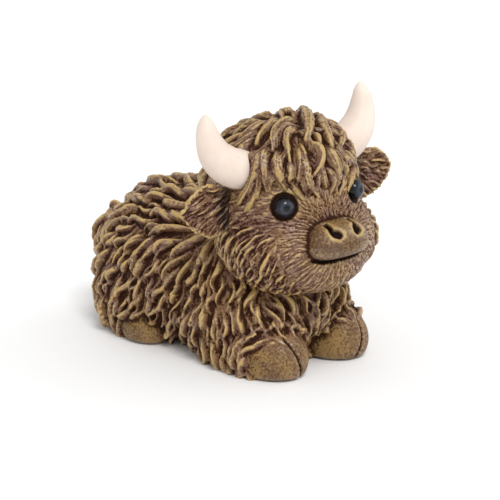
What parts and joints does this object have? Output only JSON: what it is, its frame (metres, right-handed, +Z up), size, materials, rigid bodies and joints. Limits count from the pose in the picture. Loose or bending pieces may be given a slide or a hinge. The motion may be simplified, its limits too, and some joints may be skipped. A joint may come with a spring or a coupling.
{
  "type": "cow figurine",
  "caption": "Lying long-haired highland cow ornament with upturned horns, a shaggy forelock over glass bead eyes, drooping ears, folded legs and a flat base.",
  "frame": {"origin": "on the flat base, on the body's mid plane, below the middle of the ornament's length", "axes": "+Z up, -Y towards the muzzle and forelegs, +X towards the cow's left side; the head is turned a little towards -X"},
  "size_m": [0.0744, 0.1055, 0.0808],
  "materials": {
    "fur": "cast polyresin, dark umber paint in the grooves, dry-brushed with old gold on the ridges",
    "horn": "cast polyresin, smooth matt cream paint with fine pinholes",
    "bead": "glossy blue-black bead",
    "dowel": "plain turned hardwood dowel"
  },
  "bodies": {
    "root": {"torso": "fur", "head": "fur", "forelock": "fur", "tail": "fur", "ear_right": "fur", "ear_left": "fur", "horn_right": "horn", "horn_left": "horn", "eye_right": "bead", "eye_left": "bead", "neck_dowel": "dowel"}
  },
  "joints": []
}
